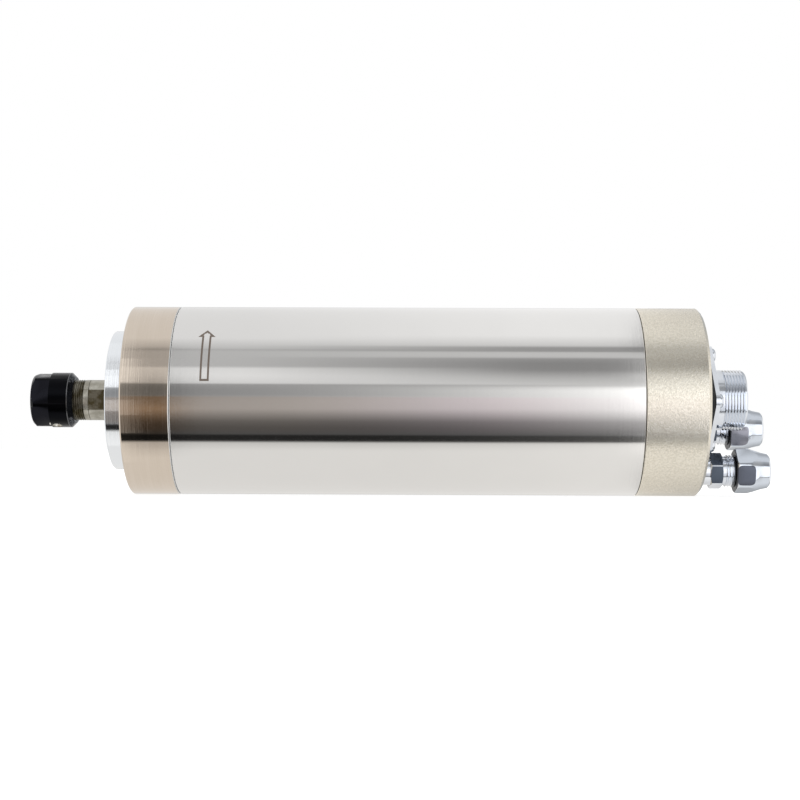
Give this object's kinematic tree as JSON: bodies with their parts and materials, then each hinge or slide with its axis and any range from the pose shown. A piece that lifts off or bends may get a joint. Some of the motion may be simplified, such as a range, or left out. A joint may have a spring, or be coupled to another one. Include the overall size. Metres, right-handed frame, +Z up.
{
  "type": "motor spindle",
  "caption": "Round water-cooled milling spindle motor: collet and nut on the nose, plain clamping barrel, rear cap with round power socket and hose fittings.",
  "frame": {"origin": "on the shaft's axis, midway along the stainless barrel", "axes": "+X along the shaft from the collet towards the rear cap, +Z up, with the hose fittings below the socket"},
  "size_m": [0.2541, 0.065, 0.065],
  "materials": {
    "polished_stainless": "polished stainless tube, smooth and bright",
    "bronze_cap": "turned metal with a warm bronze tint, fine turning lines",
    "blasted_champagne": "bead-blasted champagne metal, satin",
    "bright_turned": "bright turned aluminium",
    "shaft_steel": "ground tool steel with a light oil stain",
    "black_oxide": "black oxide on turned steel, worn at the edges",
    "spring_steel": "ground spring steel",
    "bearing_steel": "ground bearing steel",
    "zinc_screws": "plain steel screws",
    "chrome_plate": "bright nickel-chrome plate",
    "gasket_rubber": "black rubber",
    "insulator_black": "moulded black plastic",
    "contact_brass": "plated brass pins",
    "core_steel": "laminated electrical steel",
    "coil_copper": "varnished copper wire",
    "cage_aluminium": "cast aluminium",
    "jacket_aluminium": "machined aluminium",
    "cage_phenolic": "tan fabric-filled plastic"
  },
  "bodies": {
    "housing": {"barrel_tube": "polished_stainless", "water_jacket": "jacket_aluminium", "jacket_seals": "gasket_rubber", "front_cap": "bronze_cap", "nose_cover": "bright_turned", "cover_screws": "zinc_screws", "rear_cap": "blasted_champagne", "cap_screws": "zinc_screws", "rear_bearing_plate": "jacket_aluminium", "bearing_outer_rings": "bearing_steel", "preload_spring": "spring_steel", "stator_core": "core_steel", "stator_windings": "coil_copper", "connector_gasket": "gasket_rubber", "connector_shell": "chrome_plate", "connector_insulator": "insulator_black", "connector_pins": "contact_brass", "lead_wires": "insulator_black", "connector_screws": "chrome_plate", "inlet_fitting": "chrome_plate", "outlet_fitting": "chrome_plate"},
    "shaft": {"spindle_shaft": "shaft_steel", "rotor_core": "core_steel", "rotor_cage": "cage_aluminium", "bearing_inner_rings": "bearing_steel", "bearing_locknut": "spring_steel", "shaft_circlip": "spring_steel"},
    "front_balls": {"front_bearing_balls": "bearing_steel", "front_bearing_cages": "cage_phenolic"},
    "rear_balls": {"rear_bearing_balls": "bearing_steel", "rear_bearing_cage": "cage_phenolic"},
    "collet": {"spring_collet": "spring_steel"},
    "collet_nut": {"collet_nut": "black_oxide"},
    "inlet_nut": {"inlet_hose_nut": "chrome_plate"},
    "outlet_nut": {"outlet_hose_nut": "chrome_plate"}
  },
  "joints": [
    {"name": "shaft_spin", "type": "hinge", "parent": "housing", "child": "shaft", "pos_m": [0, 0, 0], "axis": [1, 0, 0], "continuous": true},
    {"name": "collet_slide", "type": "slide", "parent": "shaft", "child": "collet", "axis": [-1, 0, 0], "range_m": [0, 0.009]},
    {"name": "nut_turn", "type": "hinge", "parent": "collet", "child": "collet_nut", "pos_m": [-0.1298, 0, 0], "axis": [-1, 0, 0], "range_deg": [0, 4320]},
    {"name": "inlet_nut_turn", "type": "hinge", "parent": "housing", "child": "inlet_nut", "pos_m": [0.1243, -0.003, -0.0237], "axis": [1, 0, 0], "range_deg": [-1080, 1440]},
    {"name": "outlet_nut_turn", "type": "hinge", "parent": "housing", "child": "outlet_nut", "pos_m": [0.1243, 0.0089, -0.0092], "axis": [1, 0, 0], "range_deg": [-1080, 1440]},
    {"name": "front_balls_roll", "type": "hinge", "parent": "housing", "child": "front_balls", "pos_m": [-0.083, 0, 0], "axis": [1, 0, 0], "continuous": true},
    {"name": "rear_balls_roll", "type": "hinge", "parent": "housing", "child": "rear_balls", "pos_m": [0.071, 0, 0], "axis": [1, 0, 0], "continuous": true}
  ],
  "couplings": [
    {"joint": "collet_slide", "follows": "nut_turn", "m_per_rad": 0.00011937},
    {"joint": "front_balls_roll", "follows": "shaft_spin", "ratio": 0.39872},
    {"joint": "rear_balls_roll", "follows": "shaft_spin", "ratio": 0.381}
  ]
}
